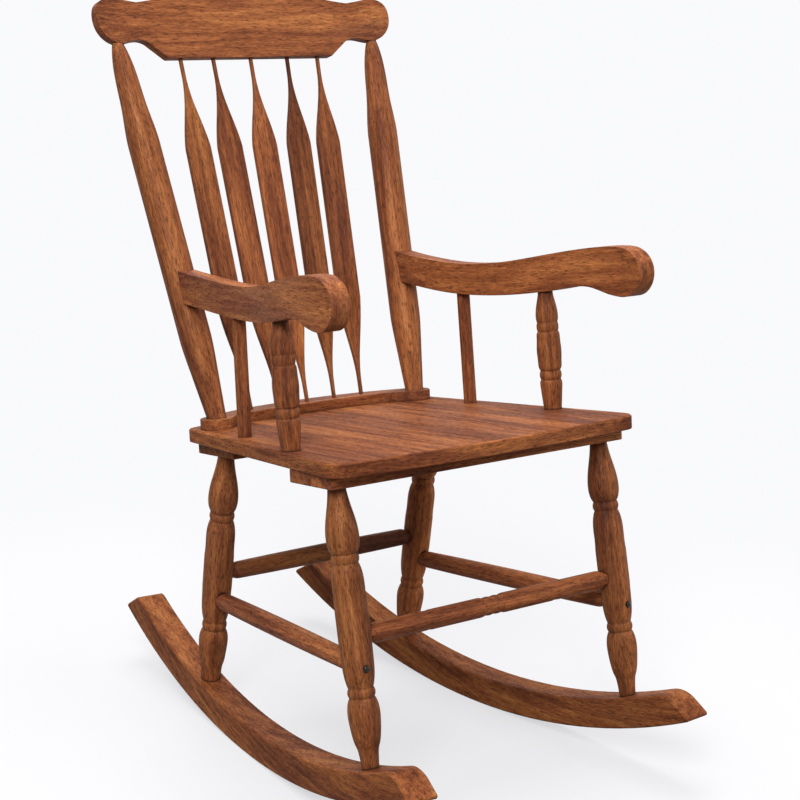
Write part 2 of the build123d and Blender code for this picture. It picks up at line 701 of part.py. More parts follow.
# ---------------------------------------------------------------- back rail
with BuildPart() as back_rail:
    with BuildSketch(seat_top):
        with BuildLine():
            ear = [
                Vector(EAR[0] + EAR_R * cos(radians(a)), EAR[1] + EAR_R * sin(radians(a)))
                for a in (215, -45, 65)
            ]
            Spline(
                (0, RAIL_FRONT),
                (0.62 * EAR[0], RAIL_FRONT - 6),
                ear[0],
                tangents=((1, 0), (-sin(radians(215)), cos(radians(215)))),
            )
            ThreePointArc(*ear)
            Spline(
                ear[2],
                (0.45 * EAR[0], RAIL_BACK - 6),
                (0, RAIL_BACK),
                tangents=((-sin(radians(65)), cos(radians(65))), (-1, 0)),
            )
            Line((0, RAIL_BACK), (0, RAIL_FRONT))
        make_face()
        mirror(about=Plane.YZ)
    extrude(amount=RAIL_THICKNESS)
    chamfer(faces().sort_by(Axis(seat_top.origin, seat_top.z_dir))[-1].edges(), SMALL_EASE)
    for foot, head in posts.values():
        socket(
            end_plane(foot, head, POST_FOOT_SINK), POST_FOOT_R, POST_TENON_R, POST_FOOT_TENON
        )
    for foot_x, head_x in zip(SPINDLE_FEET, SPINDLE_HEADS):
        foot, head = on(back, foot_x, 0), on(back, head_x, CREST_UNDERSIDE)
        along = (head - foot).normalized()
        mortise = Plane(origin=foot, x_dir=along.cross(back.z_dir), z_dir=along)
        with Locations(mortise.offset(-SPINDLE_FOOT_DEPTH - FIT)):
            Box(
                SPINDLE_FOOT_W + 2 * FIT,
                SPINDLE_END_THICKNESS + 2 * FIT,
                3 * SPINDLE_FOOT_DEPTH,
                align=BASE,
                mode=Mode.SUBTRACT,
            )
back_rail.part.move(at_rest)
back_rail.part.label = "back_rail"
export_step(back_rail.part, "parts/back_rail.step")


# ---------------------------------------------------------------- spindles
def spindle_outline(length):
    """Half of the front view, from the foot in the rail to the head in the crest rail."""
    blade = SPINDLE_BLADE_W / 2
    straight = 0.14 * SPINDLE_LOWER_SHOULDER
    Polyline(
        (0, -SPINDLE_FOOT_DEPTH),
        (SPINDLE_FOOT_W / 2, -SPINDLE_FOOT_DEPTH),
        (SPINDLE_FOOT_W / 2, straight),
    )
    Spline(
        (SPINDLE_FOOT_W / 2, straight),
        (0.26 * blade, 0.39 * SPINDLE_LOWER_SHOULDER),
        (0.63 * blade, 0.66 * SPINDLE_LOWER_SHOULDER),
        (blade, SPINDLE_LOWER_SHOULDER),
        tangents=((0, 1), (0.1, 1)),
    )
    Line((blade, SPINDLE_LOWER_SHOULDER), (blade, SPINDLE_UPPER_SHOULDER))
    Spline(
        (blade, SPINDLE_UPPER_SHOULDER),
        (0.55 * blade, 0.55 * SPINDLE_UPPER_SHOULDER + 0.45 * SPINDLE_NECK_AT),
        (SPINDLE_NECK_W / 2, SPINDLE_NECK_AT),
        tangents=((-0.1, 1), (-0.02, 1)),
    )
    Polyline(
        (SPINDLE_NECK_W / 2, SPINDLE_NECK_AT),
        (SPINDLE_NECK_W / 2, length + SPINDLE_HEAD_DEPTH),
        (0, length + SPINDLE_HEAD_DEPTH),
        (0, -SPINDLE_FOOT_DEPTH),
    )


for index, (foot_x, head_x) in enumerate(zip(SPINDLE_FEET, SPINDLE_HEADS), start=1):
    foot, head = on(back, foot_x, 0), on(back, head_x, CREST_UNDERSIDE)
    along = (head - foot).normalized()
    length = (head - foot).length
    with BuildPart() as spindle:
        with BuildSketch(Plane(origin=foot, x_dir=along.cross(back.z_dir), z_dir=back.z_dir)):
            with BuildLine():
                spindle_outline(length)
            make_face()
            mirror(about=Plane.YZ)
        extrude(amount=SPINDLE_THICKNESS / 2, both=True)
        # seen from the side, the foot and the neck are thinner than the blade
        with BuildSketch(Plane(origin=foot, x_dir=back.z_dir, z_dir=back.z_dir.cross(along))):
            with BuildLine():
                Polyline(
                    (0, -SPINDLE_FOOT_DEPTH),
                    (SPINDLE_END_THICKNESS / 2, -SPINDLE_FOOT_DEPTH),
                    (SPINDLE_END_THICKNESS / 2, 0),
                    (SPINDLE_THICKNESS / 2, SPINDLE_LOWER_SHOULDER),
                    (SPINDLE_THICKNESS / 2, SPINDLE_UPPER_SHOULDER),
                    (SPINDLE_END_THICKNESS / 2, SPINDLE_NECK_AT),
                    (SPINDLE_END_THICKNESS / 2, length + SPINDLE_HEAD_DEPTH),
                    (0, length + SPINDLE_HEAD_DEPTH),
                    close=True,
                )
            make_face()
            mirror(about=Plane.YZ)
        extrude(amount=SPINDLE_BLADE_W, both=True, mode=Mode.INTERSECT)
    spindle.part.move(at_rest)
    spindle.part.label = f"spindle_{index}"
    export_step(spindle.part, f"parts/{spindle.part.label}.step")


# ---------------------------------------------------------------- crest rail
def crest_face(forward, sweep):
    """One face of the crest rail seen from above: flat middle, end bent towards the sitter."""
    Line((0, forward), (CREST_FLAT_HALF, forward))
    return CenterArc((CREST_FLAT_HALF, CREST_BEND_R), CREST_BEND_R - forward, -90, sweep)


def crest_outline():
    """Half of the front view, from the middle of the lower edge round to the top."""
    Polyline((0, 0), (CREST_STEP_HALF, 0), CREST_SLOPE_TOP)
    Spline(
        CREST_SLOPE_TOP,
        COVE,
        POST_HEAD,
        (CREST_HALF - 5.5, 0.63 * LOBE_SIDE_AT),
        (CREST_HALF, LOBE_SIDE_AT),
        (CREST_HALF - 8, LOBE_TOP[1] - 8.5),
        LOBE_TOP,
        NOTCH,
        tangents=((1, 0.9), (-1, -0.12)),
    )
    Spline(
        NOTCH,
        (0.55 * NOTCH[0], 0.32 * NOTCH[1] + 0.68 * CREST_HEIGHT),
        (0, CREST_HEIGHT),
        tangents=((-1, 0.12), (-1, 0)),
    )
    Line((0, CREST_HEIGHT), (0, 0))


with BuildPart() as crest_prism:
    with BuildSketch(crest_plane):
        with BuildLine():
            crest_outline()
        make_face()
        mirror(about=Plane.YZ)
    extrude(amount=3 * CREST_THICKNESS, both=True)

with BuildPart() as crest_rail:
    add(crest_prism.part)
    # the bent plank seen from above, cut through the outline
    with BuildSketch(Plane(origin=crest_plane.origin, x_dir=(1, 0, 0), z_dir=-crest_plane.y_dir)):
        with BuildLine():
            sweep_angle = degrees(asin((CREST_HALF + 10 - CREST_FLAT_HALF) / CREST_BEND_R))
            front_arc = crest_face(CREST_FACE, sweep_angle)
            rear_arc = crest_face(CREST_FACE - CREST_THICKNESS, sweep_angle)
            Line(front_arc @ 1, rear_arc @ 1)
            Line((0, CREST_FACE), (0, CREST_FACE - CREST_THICKNESS))
        make_face()
        mirror(about=Plane.YZ)
    extrude(amount=2 * CREST_HEIGHT, both=True, mode=Mode.INTERSECT)
    for foot, head in posts.values():
        bore(end_plane(head, foot, -SINK), CREST_TENON_R + FIT, POST_HEAD_TENON + SINK)
    for foot_x, head_x in zip(SPINDLE_FEET, SPINDLE_HEADS):
        foot, head = on(back, foot_x, 0), on(back, head_x, CREST_UNDERSIDE)
        along = (head - foot).normalized()
        mortise = Plane(origin=head, x_dir=along.cross(back.z_dir), z_dir=along)
        with Locations(mortise.offset(-SPINDLE_HEAD_DEPTH)):
            Box(
                SPINDLE_NECK_W + 2 * FIT,
                SPINDLE_END_THICKNESS + 2 * FIT,
                2 * SPINDLE_HEAD_DEPTH + FIT,
                align=BASE,
                mode=Mode.SUBTRACT,
            )
crest_rail.part.move(at_rest)
crest_rail.part.label = "crest_rail"
export_step(crest_rail.part, "parts/crest_rail.step")

# ---------------------------------------------------------------- back posts
for side_name, (foot, head) in posts.items():
    length = (head - foot).length
    with BuildPart() as post:
        with BuildSketch(turning_plane(foot, head)):
            with BuildLine():
                Polyline((0, -POST_FOOT_SINK), (POST_FOOT_R, -POST_FOOT_SINK), (POST_FOOT_R, LAND))
                Spline(
                    (POST_FOOT_R, LAND),
                    (0.27 * POST_FOOT_R + 0.73 * POST_R, 0.66 * POST_LOWER_TAPER),
                    (POST_R, POST_LOWER_TAPER),
                    tangents=((0.085, 1), (0, 1)),
                )
                Line((POST_R, POST_LOWER_TAPER), (POST_R, length - POST_UPPER_TAPER))
                Spline(
                    (POST_R, length - POST_UPPER_TAPER),
                    (0.3 * POST_HEAD_R + 0.7 * POST_R, length - 0.62 * POST_UPPER_TAPER),
                    (0.7 * POST_HEAD_R + 0.3 * POST_R, length - 0.12 * POST_UPPER_TAPER),
                    (POST_HEAD_R, length),
                    tangents=((0, 1), (-0.35, 1)),
                )
                Polyline(
                    (POST_HEAD_R, length), (POST_HEAD_R, length + 2 * SINK), (0, length + 2 * SINK)
                )
                Line((0, length + 2 * SINK), (0, -POST_FOOT_SINK))
            make_face()
        revolve(axis=turning_axis(foot, head))
        # the head is coped to the crest rail's lower edge
        add(crest_prism.part.moved(Location(-FIT * crest_plane.y_dir)), mode=Mode.SUBTRACT)
        tenon(end_plane(head, foot, -SINK), CREST_TENON_R, POST_HEAD_TENON + SINK - FIT)
        tenon(end_plane(foot, head, POST_FOOT_SINK), POST_TENON_R, POST_FOOT_TENON - FIT)
        for plane in arm_bolt_planes():
            bolt_hole(plane, ARM_BOLT_LENGTH)
    post.part.move(at_rest)
    post.part.label = f"back_post_{side_name}"
    export_step(post.part, f"parts/{post.part.label}.step")


# ---------------------------------------------------------------- arms
def band_point(line, along, offset):
    """Point beside a line in plan, at a fraction of its length."""
    return line @ along + (line % along).rotate(Axis.Z, 90) * offset


def hand_quarter(end, start_angle):
    """Quarter of an ellipse between the hand's foremost point and an end of the arm's long edges."""
    tip_y, tip_z = ARM_HAND_TIP
    EllipticalCenterArc((end.X, tip_z), end.X - tip_y, abs(end.Y - tip_z), start_angle, arc_size=90)


for side_name, side in SIDES.items():
    foot, head = posts[side_name]
    with BuildPart() as arm:
        with BuildSketch(Plane.YZ):
            with BuildLine():
                underside = Spline(*ARM_UNDERSIDE, tangents=((-1, -0.02), (-1, 0)))
                top_edge = Spline(*ARM_TOP, tangents=((1, 0), (1, 0.06)))
                hand_quarter(underside @ 1, 180)
                hand_quarter(top_edge @ 0, 90)
                Line(top_edge @ 1, underside @ 0)
            make_face()
        extrude(amount=300 * side)
        with BuildSketch(Plane.XY):
            with BuildLine(mode=Mode.PRIVATE) as middle:
                Spline(*((x * side, y) for x, y in ARM_PLAN))
            with BuildLine():
                inner, outer = [
                    Spline(*(band_point(middle.line, i / 8, half) for i in range(9)))
                    for half in (-ARM_THICKNESS / 2, ARM_THICKNESS / 2)
                ]
                Line(inner @ 0, outer @ 0)
                Line(inner @ 1, outer @ 1)
            make_face()
        extrude(amount=1000, mode=Mode.INTERSECT)
        # the rear end is coped round the post
        with Locations(Plane(origin=foot, z_dir=head - foot)):
            Cylinder(POST_R + FIT, (head - foot).length, align=BASE, mode=Mode.SUBTRACT)
        arm_foot, arm_head = arm_posts[side_name]
        socket(end_plane(arm_head, arm_foot), ARM_POST_HEAD_R, TENON_R, ARM_TENON)
        arm_foot, arm_head = arm_supports[side_name]
        socket(end_plane(arm_head, arm_foot), ARM_SUPPORT_R, SUPPORT_TENON_R, ARM_TENON)
        for plane in arm_bolt_planes():
            bolt_hole(plane, ARM_BOLT_LENGTH)
    arm.part.move(at_rest)
    arm.part.label = f"arm_{side_name}"
    export_step(arm.part, f"parts/{arm.part.label}.step")


# ---------------------------------------------------------------- arm posts and supports
def arm_post_outline(length):
    """From the seat (0) to the arm: base, ring, barrel, ring and bulb."""
    ring_1, ring_2 = ARM_POST_RINGS
    groove_1, groove_2 = ARM_POST_GROOVES_R
    Polyline((0, -SINK), (ARM_POST_FOOT_R, -SINK), (ARM_POST_FOOT_R, LAND))
    Spline(
        (ARM_POST_FOOT_R, LAND),
        (ARM_POST_BASE_R, ring_1 - ARM_POST_RING_HALF - 12),
        (groove_1, ring_1 - ARM_POST_RING_HALF),
        tangents=((0.1, 1), (-1, 1)),
    )
    bead(ring_1 - ARM_POST_RING_HALF, ring_1 + ARM_POST_RING_HALF, groove_1, ARM_POST_RING_R)
    Spline(
        (groove_1, ring_1 + ARM_POST_RING_HALF),
        (ARM_POST_BARREL_R - 0.7, ring_1 + ARM_POST_RING_HALF + 13),
        (ARM_POST_BARREL_R, (ring_1 + ring_2) / 2),
        (ARM_POST_BARREL_R - 1, ring_2 - ARM_POST_RING_HALF - 9),
        (groove_2, ring_2 - ARM_POST_RING_HALF),
        tangents=((1, 1), (-0.9, 1)),
    )
    bead(ring_2 - ARM_POST_RING_HALF, ring_2 + ARM_POST_RING_HALF, groove_2, ARM_POST_RING_R)
    Spline(
        (groove_2, ring_2 + ARM_POST_RING_HALF),
        (ARM_POST_BULB_R, ring_2 + ARM_POST_RING_HALF + 12),
        (0.25 * ARM_POST_BULB_R + 0.75 * ARM_POST_HEAD_R, length - 12),
        (ARM_POST_HEAD_R, length - LAND),
        tangents=((0.4, 1), (-0.05, 1)),
    )
    Line((ARM_POST_HEAD_R, length - LAND), (ARM_POST_HEAD_R, length + SINK))
    Polyline((ARM_POST_HEAD_R, length + SINK), (0, length + SINK), (0, -SINK))


for side_name in SIDES:
    foot, head = arm_posts[side_name]
    with BuildPart() as arm_post:
        with BuildSketch(turning_plane(foot, head)):
            with BuildLine():
                arm_post_outline((head - foot).length)
            make_face()
        revolve(axis=turning_axis(foot, head))
        tenon(end_plane(foot, head), TENON_R, SEAT_TENON - FIT)
        tenon(end_plane(head, foot), TENON_R, ARM_TENON - FIT)
    arm_post.part.move(at_rest)
    arm_post.part.label = f"arm_post_{side_name}"
    export_step(arm_post.part, f"parts/{arm_post.part.label}.step")

    foot, head = arm_supports[side_name]
    with BuildPart() as arm_support:
        with Locations(end_plane(foot, head)):
            Cylinder(ARM_SUPPORT_R, (head - foot).length + 2 * SINK, align=HUNG)
        tenon(end_plane(foot, head), SUPPORT_TENON_R, SEAT_TENON - FIT)
        tenon(end_plane(head, foot), SUPPORT_TENON_R, ARM_TENON - FIT)
    arm_support.part.move(at_rest)
    arm_support.part.label = f"arm_support_{side_name}"
    export_step(arm_support.part, f"parts/{arm_support.part.label}.step")

# ---------------------------------------------------------------- fasteners
with BuildPart() as stretcher_bolts:
    for plane in stretcher_bolt_planes():
        bolt(plane, STRETCHER_BOLT_LENGTH)
stretcher_bolts.part.move(at_rest)
stretcher_bolts.part.label = "stretcher_bolts"
export_step(stretcher_bolts.part, "parts/stretcher_bolts.step")

with BuildPart() as arm_bolts:
    for plane in arm_bolt_planes():
        bolt(plane, ARM_BOLT_LENGTH)
arm_bolts.part.move(at_rest)
arm_bolts.part.label = "arm_bolts"
export_step(arm_bolts.part, "parts/arm_bolts.step")

with BuildPart() as seat_screws:
    for plane in screw_planes:
        with Locations(plane):
            Cone(SCREW_SHANK_R, SCREW_HEAD_R, SCREW_HEAD_H, align=HUNG)
            Cylinder(SCREW_SHANK_R, SCREW_LENGTH, align=HUNG)
seat_screws.part.move(at_rest)
seat_screws.part.label = "seat_screws"
export_step(seat_screws.part, "parts/seat_screws.step")
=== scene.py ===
import math

import bpy
import numpy as np
from mathutils import Euler, Matrix, Vector


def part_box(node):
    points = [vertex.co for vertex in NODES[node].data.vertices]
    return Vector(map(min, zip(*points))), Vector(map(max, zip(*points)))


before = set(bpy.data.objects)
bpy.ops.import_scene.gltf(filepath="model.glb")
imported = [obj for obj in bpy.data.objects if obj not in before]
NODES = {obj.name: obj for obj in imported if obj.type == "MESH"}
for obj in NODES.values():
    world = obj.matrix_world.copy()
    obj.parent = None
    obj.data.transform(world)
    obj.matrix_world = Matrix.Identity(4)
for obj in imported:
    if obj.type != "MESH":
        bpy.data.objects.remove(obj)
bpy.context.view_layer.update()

# ------------------------------------------------------------------ colours (linear)
WOOD_RAMP = (
    (0.00, (0.070, 0.020, 0.009)),
    (0.28, (0.152, 0.044, 0.018)),
    (0.50, (0.248, 0.076, 0.027)),
    (0.72, (0.344, 0.115, 0.038)),
    (1.00, (0.485, 0.180, 0.057)),
)
PURPLE = (0.120, 0.036, 0.024)
PORE = (0.040, 0.015, 0.010)
# the colour of painted shade in corners, in grooves and along sharp edges
PAINTED_SHADE = (0.030, 0.011, 0.007)
WORN = (0.430, 0.190, 0.085)
STEEL = (0.045, 0.042, 0.036)
STEEL_STAIN = (0.012, 0.011, 0.010)
FLOOR = (0.300, 0.300, 0.305)
FLOOR_BOUNCE = (0.100, 0.100, 0.100)  # the floor's own colour for the light that it throws back
BACKGROUND = (0.950, 0.952, 0.972)

# ------------------------------------------------------------------ pieces
# how light each piece is drawn, where it differs from the rest: partly the timber's tone, partly
# painted shade and painted light, as on stretcher_rear under the seat
PIECE_TONE_AND_SHADE = {
    "arm_left": 1.10,
    "arm_post_left": 0.89,
    "arm_post_right": 0.97,
    "arm_right": 1.15,
    "arm_support_left": 1.06,
    "arm_support_right": 0.95,
    "back_post_left": 0.98,
    "back_post_right": 0.96,
    "back_rail": 1.06,
    "batten_front_board_1": 1.40,
    "crest_rail": 1.04,
    "leg_front_left": 0.87,
    "leg_front_right": 0.76,
    "leg_rear_left": 1.48,
    "leg_rear_right": 0.94,
    "rocker_left": 0.90,
    "rocker_right": 1.01,
    "seat_panel": 1.03,
    "spindle_1": 0.87,
    "spindle_2": 1.04,
    "spindle_3": 1.12,
    "spindle_4": 0.74,
    "spindle_5": 0.91,
    "stretcher_front": 1.16,
    "stretcher_rear": 0.61,
    "stretcher_side_left": 1.33,
    "stretcher_side_right": 1.27,
}
ACROSS = ("crest_rail", "back_rail", "batten")  # boards whose grain runs from side to side
ARMS = ("arm_left", "arm_right")
TURNED = ("leg", "arm_post", "stretcher_front")
LEVEL = ("seat_panel", "rocker")  # broad faces that would mirror the lamps overhead

# pieces drawn in two tones split by a sharp line on a plane through their middle: the way the
# line faces, degrees about Z, and how light the side on its left and the side on its right are
TWO_TONED = {
    "leg_front_left": (-107, 0.86, 1.10),
    "leg_front_right": (-95, 1.06, 0.95),
    "leg_rear_right": (-118, 1.10, 0.88),
    "leg_rear_left": (-100, 0.93, 1.08),
}
SPLIT_LINE_HALF = 0.0003

# the arc that the rockers' grain follows: its centre in Y and Z, metres, and how much the grain
# runs out of it
ROCKER_CENTRE = (0.0223, 0.990)
ROCKER_RUNOUT = 0.16
SEAT_TILT = math.radians(7.6)

# how squarely a surface faces the front or the rear where the other grain starts
SEAT_EDGE_FACING = 0.55
HAND_END_FACING = 0.66

# ------------------------------------------------------------------ wood
# noises: scale across the grain, share of it along the grain, detail, roughness
WAVES = (9.0, 0.35, 2.0, 0.55)
FIGURE = (26.0, 0.10, 4.0, 0.55)
STREAKS = (150.0, 0.05, 4.0, 0.60)
FIBRES = (600.0, 0.10, 3.0, 0.75)
PORES = (600.0, 0.15, 1.0, 0.50)
PATCHES = (17.0, 0.16, 3.0, 0.50)
WAVE_SHIFT = 0.022
RING_ALONG = 0.12

# the part of each noise that is used
FIGURE_RANGE = (0.30, 0.70)
STREAK_RANGE = (0.32, 0.68)
FIBRE_RANGE = (0.30, 0.70)
PORE_RANGE = (0.58, 0.66)
PATCH_RANGE = (0.52, 0.74)

# what each adds on the way up the ramp, and how far patches and pores cover it
FIGURE_SHARE = 0.46
STREAK_SHARE = 0.32
RING_SHARE = 0.14
FIBRE_SHARE = 0.18
PATCH_COVER = 0.58
PORE_COVER = 0.52
FIBRE_TONES = (0.70, 1.32)
SEED_STEP = (0.37, 0.61, 0.23)

# edges: radius, metres; cosine between the true and the rounded normal on a flat face and on a
# sharp edge; how far edges are painted dark as shade and, in places, are rubbed light
EDGE_RADIUS = 0.0012
TURNED_EDGE_RADIUS = 0.0004
EDGE_BEND = (0.99, 0.82)
EDGE_PAINTED_SHADE = 0.40
EDGE_RUBBED = 0.30
RUBBED_RANGE = (0.50, 0.68)

# corners and turned grooves, where shade is painted: reach, metres; openness where the painted
# shade starts and where it is full
CORNER_REACH = 0.012
CORNER_OPEN = (0.86, 0.15)
CORNER_PAINTED_SHADE = 0.85
GROOVE_REACH = 0.0035
GROOVE_OPEN = (0.93, 0.62)
GROOVE_PAINTED_SHADE = 0.82

# surface: the streaks' range for the roughness, roughness between them and on them, what pores
# add; relief, in which pores sink by 1; reflection
SHEEN_RANGE = (0.25, 0.75)
WOOD_ROUGHNESS = (0.64, 0.50)
PORE_ROUGHNESS = 0.22
FIBRE_HEIGHT = 0.35
STREAK_HEIGHT = 0.5
SPECULAR = 0.10
LEVEL_SPECULAR = 0.05

# ------------------------------------------------------------------ steel
STAINS = (420.0, 1.0, 3.0, 0.60)
SCRATCHES = (3200.0, 0.08, 2.0, 0.50)
STAIN_RANGE = (0.40, 0.70)
SCRATCH_RANGE = (0.3, 0.7)
STEEL_ROUGHNESS = (0.24, 0.38)

# ------------------------------------------------------------------ studio, metres and watts
FLOOR_HALF = 30.0
FLOOR_GLOW = 0.645
FLOOR_FADE = (0.7, 1.6)  # from the chair outwards, where the floor turns into the backdrop
AMBIENT = 0.31
LAMPS = (
    ("key", (-2.4, -2.6, 3.0), 1.8, 138),
    ("fill", (2.8, -1.8, 1.6), 2.2, 24),
    ("top", (0.2, 0.6, 3.4), 2.2, 70),
    ("rear", (1.0, 3.0, 2.2), 2.0, 14),
)
LAMP_AIM = Vector((0, 0, 0.5))

# the camera was solved on the photograph with the middle of the rockers' arc on the floor, and
# is rolled back and shifted with the chair to its balance
SENSOR_WIDTH = 36.0
LENS = 83.7
SOLVED_PLACE = (-1.4747, -2.0771, 1.0033)
SOLVED_TURN = (math.radians(78.364), 0, math.radians(-36.165))
ROLLED_BACK = math.radians(2.4)
ROLLED_SHIFT = (0, -0.003956, 0.000232)


# ------------------------------------------------------------------ node helpers
class Tree:
    """Adds nodes to a material and links what it is given as inputs."""

    def __init__(self, name):
        self.material = bpy.data.materials.new(name)
        self.material.use_nodes = True
        self.nodes = self.material.node_tree.nodes
        self.links = self.material.node_tree.links
        self.nodes.clear()

    def put(self, socket, value):
        if isinstance(value, bpy.types.NodeSocket):
            self.links.new(value, socket)
        else:
            socket.default_value = value

    def add(self, kind, settings=None, **inputs):
        node = self.nodes.new(kind)
        for key, value in (settings or {}).items():
            setattr(node, key, value)
        for key, value in inputs.items():
            self.put(node.inputs[key.replace("_", " ")], value)
        return node

    def place(self):
        return self.nodes.new("ShaderNodeTexCoord").outputs["Object"]

    def normal(self):
        return self.nodes.new("ShaderNodeNewGeometry").outputs["Normal"]

    def math(self, operation, a, b=0.0):
        node = self.nodes.new("ShaderNodeMath")
        node.operation = operation
        self.put(node.inputs[0], a)
        self.put(node.inputs[1], b)
        return node.outputs[0]

    def vector_math(self, operation, a, b=(0, 0, 0)):
        node = self.nodes.new("ShaderNodeVectorMath")
        node.operation = operation
        self.put(node.inputs[0], a)
        self.put(node.inputs[1], b)
        return node.outputs["Value" if operation in ("DOT_PRODUCT", "LENGTH") else "Vector"]

    def scaled(self, vector, factors):
        return self.vector_math("MULTIPLY", vector, factors)

    def turned(self, vector, turn):
        return self.add("ShaderNodeMapping", Vector=vector, Rotation=turn).outputs["Vector"]

    def noise(self, vector, kind, stretched="Z"):
        """Noise drawn out along one axis; kind is a row of numbers as listed above."""
        scale, along, detail, roughness = kind
        factors = tuple(along if axis == stretched else 1 for axis in "XYZ")
        return self.add(
            "ShaderNodeTexNoise",
            Vector=self.scaled(vector, factors),
            Scale=scale,
            Detail=detail,
            Roughness=roughness,
        ).outputs

    def window(self, value, low, high, to_low=0.0, to_high=1.0):
        """Runs smoothly from to_low to to_high while value runs from low to high."""
        node = self.nodes.new("ShaderNodeMapRange")
        node.interpolation_type = "SMOOTHSTEP"
        for key, number in (("Value", value), ("From Min", low), ("From Max", high)):
            self.put(node.inputs[key], number)
        node.inputs["To Min"].default_value = to_low
        node.inputs["To Max"].default_value = to_high
        return node.outputs["Result"]

    def ramp(self, value, stops):
        node = self.nodes.new("ShaderNodeValToRGB")
        elements = node.color_ramp.elements
        while len(elements) < len(stops):
            elements.new(0.5)
        for element, (position, colour) in zip(elements, stops):
            element.position = position
            element.color = (*colour, 1)
        self.put(node.inputs["Fac"], value)
        return node.outputs["Color"]

    def mix(self, factor, a, b, blend="MIX"):
        node = self.nodes.new("ShaderNodeMix")
        node.data_type = "RGBA"
        node.blend_type = blend
        self.put(node.inputs[0], factor)
        for socket, value in ((node.inputs[6], a), (node.inputs[7], b)):
            self.put(socket, (*value, 1) if isinstance(value, tuple) else value)
        return node.outputs[2]

    def openness(self, reach, samples):
        """1 where nothing stands within reach of the surface, and less in corners."""
        node = self.add("ShaderNodeAmbientOcclusion", {"samples": samples}, Distance=reach)
        return node.outputs["AO"]

    def finish(self, shader):
        output = self.nodes.new("ShaderNodeOutputMaterial")
        self.links.new(shader, output.inputs["Surface"])
        return self.material


# ------------------------------------------------------------------ grain coordinates
def grain_axis(obj):
    """Longest direction of a piece, from its vertices."""
    points = np.array([v.co for v in obj.data.vertices])
    _, vectors = np.linalg.eigh(np.cov((points - points.mean(0)).T))
    return Vector(vectors[:, -1])


def straight_grain(tree, axis):
    """Object coordinates turned so that Z runs along the grain."""
    return tree.turned(tree.place(), axis.rotation_difference(Vector((0, 0, 1))).to_euler())


def bent_grain(tree):
    """Grain that follows the rockers' arc, running out a little across it."""
    split = tree.add("ShaderNodeSeparateXYZ", Vector=tree.place())
    y = tree.math("SUBTRACT", split.outputs["Y"], ROCKER_CENTRE[0])
    z = tree.math("SUBTRACT", ROCKER_CENTRE[1], split.outputs["Z"])
    along = tree.math("MULTIPLY", tree.math("ARCTAN2", y, z), ROCKER_CENTRE[1])
    squares = tree.math("ADD", tree.math("MULTIPLY", y, y), tree.math("MULTIPLY", z, z))
    depth = tree.math("SQRT", squares)
    depth = tree.math("ADD", depth, tree.math("MULTIPLY", along, ROCKER_RUNOUT))
    joined = tree.add("ShaderNodeCombineXYZ", X=split.outputs["X"], Y=depth, Z=along)
    return joined.outputs["Vector"]


def where_facing(tree, limit, elsewhere, there):
    """One grain where the surface faces the front or the rear, and another elsewhere."""
    split = tree.add("ShaderNodeSeparateXYZ", Vector=tree.normal())
    facing = tree.math("ABSOLUTE", split.outputs["Y"])
    node = tree.nodes.new("ShaderNodeMix")
    node.data_type = "VECTOR"
    tree.put(node.inputs[0], tree.math("GREATER_THAN", facing, limit))
    tree.put(node.inputs[4], elsewhere)
    tree.put(node.inputs[5], there)
    return node.outputs[1]


def seat_grain(tree):
    """Front to back on the seat's faces, and along the edge on its front and rear edges."""
    place = tree.place()
    depth = tree.turned(place, (math.pi / 2 + SEAT_TILT, 0, 0))
    width = tree.turned(place, (0, -math.pi / 2, 0))
    return where_facing(tree, SEAT_EDGE_FACING, depth, width)


def arm_grain(tree, axis):
    """Along the arm on its long faces, and upright on the hand's end."""
    return where_facing(tree, HAND_END_FACING, straight_grain(tree, axis), tree.place())


def grain_of(name, axis):
    """The function that gives a piece's grain coordinates."""
    if name == "seat_panel":
        return seat_grain
    if name.startswith("rocker"):
        return bent_grain
    run = arm_grain if name in ARMS else straight_grain
    return lambda tree: run(tree, axis)


# ------------------------------------------------------------------ materials
def split_plane(name, axis):
    """The middle of a two-toned piece, the way across the plane that splits its tones, and the
    lightness on either side.
    """
    if name not in TWO_TONED:
        return None
    low, high = (Vector(corner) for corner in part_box(name))
    facing, left, right = TWO_TONED[name]
    across = Vector((-math.sin(math.radians(facing)), math.cos(math.radians(facing)), 0))
    across -= axis * across.dot(axis)
    return (low + high) / 2, across.normalized(), left, right


def split_tones(tree, middle, across, left, right):
    """Lightness on either side of a plane through a point, square to a direction."""
    offset = tree.vector_math("SUBTRACT", tree.place(), middle)
    side = tree.vector_math("DOT_PRODUCT", offset, across)
    return tree.window(side, -SPLIT_LINE_HALF, SPLIT_LINE_HALF, left, right)


